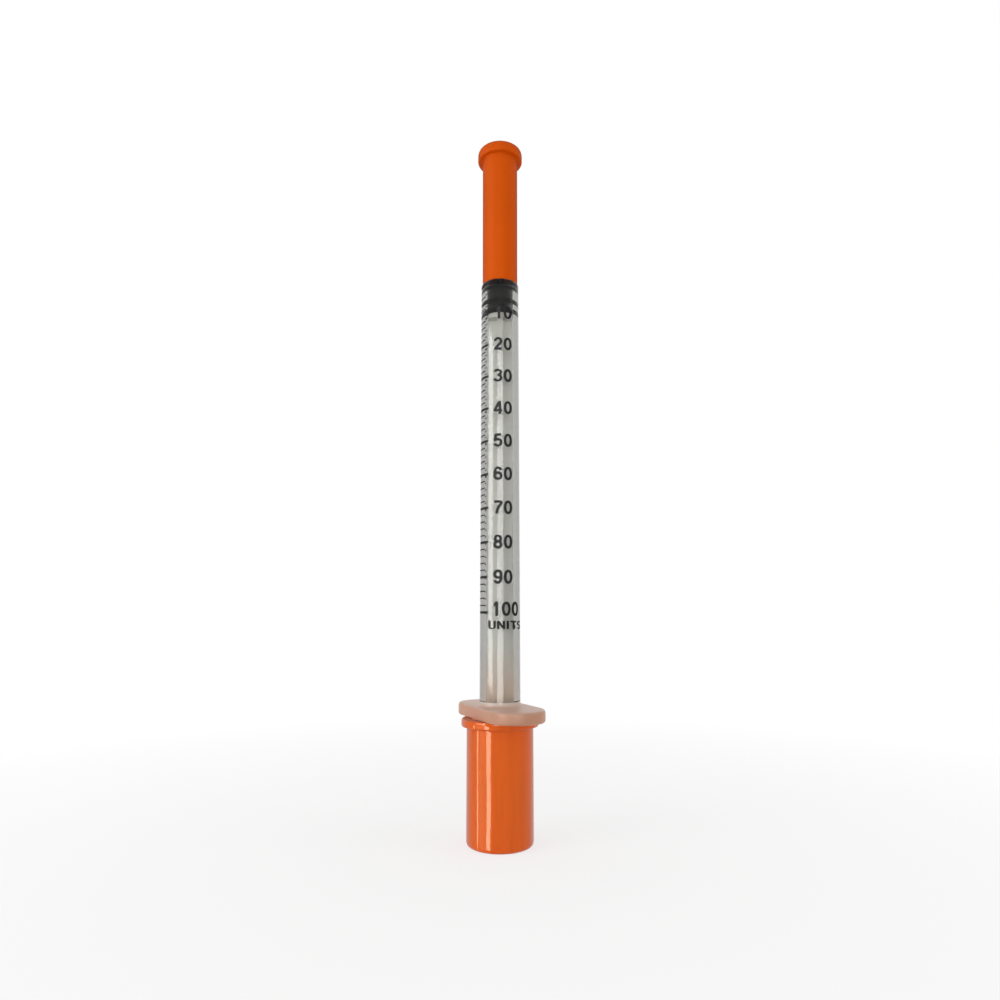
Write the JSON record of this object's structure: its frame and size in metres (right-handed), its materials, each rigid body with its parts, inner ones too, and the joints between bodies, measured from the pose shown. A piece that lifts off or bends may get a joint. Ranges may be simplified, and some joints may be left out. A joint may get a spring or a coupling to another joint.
{
  "type": "insulin syringe",
  "caption": "Slim fixed-needle syringe with a clear graduated barrel, ribbed rubber stopper, two-wing finger flange and orange caps over needle and plunger.",
  "frame": {"origin": "centre of the plunger cap's flat closed end, on which the capped syringe stands", "axes": "+Z along the barrel towards the needle, X along the two wings of the finger flange, Y across them"},
  "size_m": [0.0208, 0.0124, 0.12],
  "materials": {
    "clear_plastic": "clear moulded",
    "ink": "printed ink",
    "steel": "drawn tube",
    "adhesive": "cured resin",
    "shield_orange": "satin moulded",
    "rubber": "moulded, siliconed",
    "rod_plastic": "natural moulded",
    "cap_orange": "polished moulded"
  },
  "bodies": {
    "barrel": {"barrel": "clear_plastic", "scale_marks": "ink", "needle": "steel", "needle_adhesive": "adhesive"},
    "plunger": {"plunger_rod": "rod_plastic", "stopper": "rubber"},
    "needle_shield": {"needle_shield": "shield_orange"},
    "plunger_cap": {"plunger_cap": "cap_orange"}
  },
  "joints": [
    {"name": "plunger_cap_pull", "type": "slide", "parent": "plunger_cap", "child": "plunger", "axis": [0, 0, 1], "range_m": [0, 0.025]},
    {"name": "plunger_draw", "type": "slide", "parent": "plunger", "child": "barrel", "axis": [0, 0, 1], "range_m": [0, 0.057]},
    {"name": "needle_shield_pull", "type": "slide", "parent": "barrel", "child": "needle_shield", "axis": [0, 0, 1], "range_m": [0, 0.035]}
  ]
}
